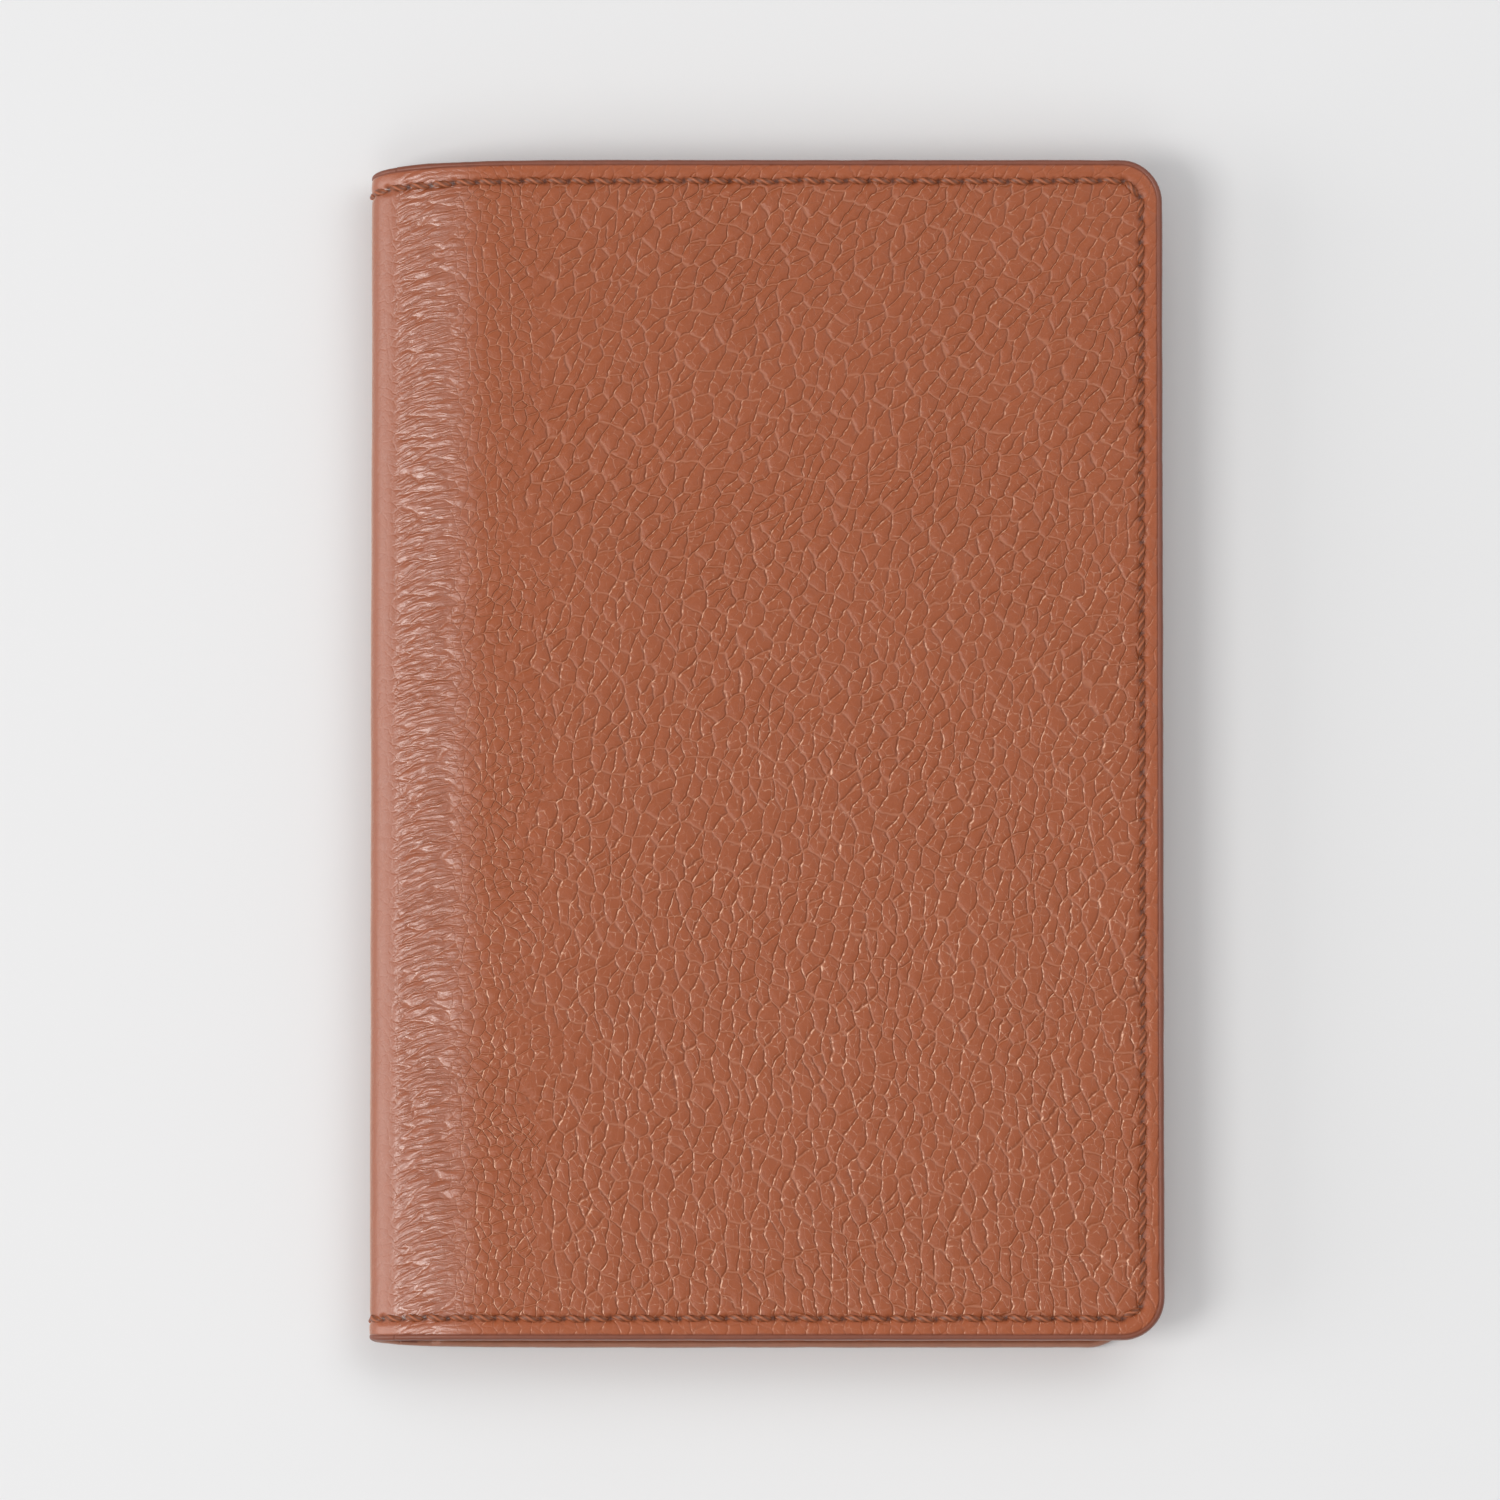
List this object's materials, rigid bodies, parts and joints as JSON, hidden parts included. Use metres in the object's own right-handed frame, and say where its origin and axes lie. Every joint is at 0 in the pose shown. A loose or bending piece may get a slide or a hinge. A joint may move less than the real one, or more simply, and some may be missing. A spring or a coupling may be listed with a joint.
{
  "type": "leather notebook cover",
  "caption": "Closed folding leather cover with stitched, painted edges and two inner sleeves holding a pocket notebook.",
  "frame": {"origin": "on the resting plane, under the centre of the closed cover", "axes": "+X from the spine to the fore-edge, +Y from the tail to the head, +Z from the back cover up through the front cover"},
  "size_m": [0.0992, 0.1484, 0.012],
  "materials": {
    "outer_leather": "pebbled, semi-matt",
    "sleeve_leather": "smooth, semi-matt",
    "lining": "matt split leather",
    "board": "matt",
    "edge_paint": "satin coat",
    "thread": "waxed twisted thread",
    "notebook_card": "matt",
    "spine_tape": "matt cloth",
    "paper": "matt"
  },
  "bodies": {
    "back_cover": {"back_leather": "outer_leather", "back_board": "board", "back_lining": "lining", "back_sleeve": "sleeve_leather", "back_edge_paint": "edge_paint", "back_stitching": "thread", "notebook_back_cover": "notebook_card", "notebook_back_spine_tape": "spine_tape", "notebook_back_leaves": "paper"},
    "spine_back": {"spine_back_leather": "outer_leather", "spine_back_lining": "lining", "spine_back_edge_paint": "edge_paint", "spine_back_stitching": "thread"},
    "spine_middle": {"spine_middle_leather": "outer_leather", "spine_middle_lining": "lining", "spine_middle_edge_paint": "edge_paint", "spine_middle_stitching": "thread"},
    "spine_front": {"spine_front_leather": "outer_leather", "spine_front_lining": "lining", "spine_front_edge_paint": "edge_paint", "spine_front_stitching": "thread"},
    "front_cover": {"front_leather": "outer_leather", "front_board": "board", "front_lining": "lining", "front_sleeve": "sleeve_leather", "front_edge_paint": "edge_paint", "front_stitching": "thread", "notebook_front_cover": "notebook_card"},
    "front_leaves": {"notebook_front_spine_tape": "spine_tape", "notebook_front_leaves": "paper"},
    "turning_leaves": {"notebook_turning_leaves": "paper"}
  },
  "joints": [
    {"name": "spine_back_fold", "type": "hinge", "parent": "back_cover", "child": "spine_back", "pos_m": [-0.04232, 0, 0.00134], "axis": [0, -1, 0], "range_deg": [0, 28]},
    {"name": "spine_middle_fold", "type": "hinge", "parent": "spine_back", "child": "spine_middle", "pos_m": [-0.04888, 0, 0.00416], "axis": [0, -1, 0], "range_deg": [0, 62]},
    {"name": "spine_front_fold", "type": "hinge", "parent": "spine_middle", "child": "spine_front", "pos_m": [-0.04888, 0, 0.00784], "axis": [0, -1, 0], "range_deg": [0, 62]},
    {"name": "front_cover_fold", "type": "hinge", "parent": "spine_front", "child": "front_cover", "pos_m": [-0.04232, 0, 0.01066], "axis": [0, -1, 0], "range_deg": [0, 28]},
    {"name": "front_leaves_turn", "type": "hinge", "parent": "back_cover", "child": "front_leaves", "pos_m": [-0.04045, 0, 0.006], "axis": [0, -1, 0], "range_deg": [0, 177.5]},
    {"name": "turning_leaves_turn", "type": "hinge", "parent": "back_cover", "child": "turning_leaves", "pos_m": [-0.04045, 0, 0.006], "axis": [0, -1, 0], "range_deg": [0, 146]}
  ],
  "couplings": [
    {"joint": "spine_back_fold", "follows": "front_cover_fold", "ratio": 1},
    {"joint": "spine_middle_fold", "follows": "front_cover_fold", "ratio": 2.2143},
    {"joint": "spine_front_fold", "follows": "front_cover_fold", "ratio": 2.2143},
    {"joint": "front_leaves_turn", "follows": "front_cover_fold", "ratio": 6.3393},
    {"joint": "turning_leaves_turn", "follows": "front_cover_fold", "ratio": 5.2143}
  ]
}
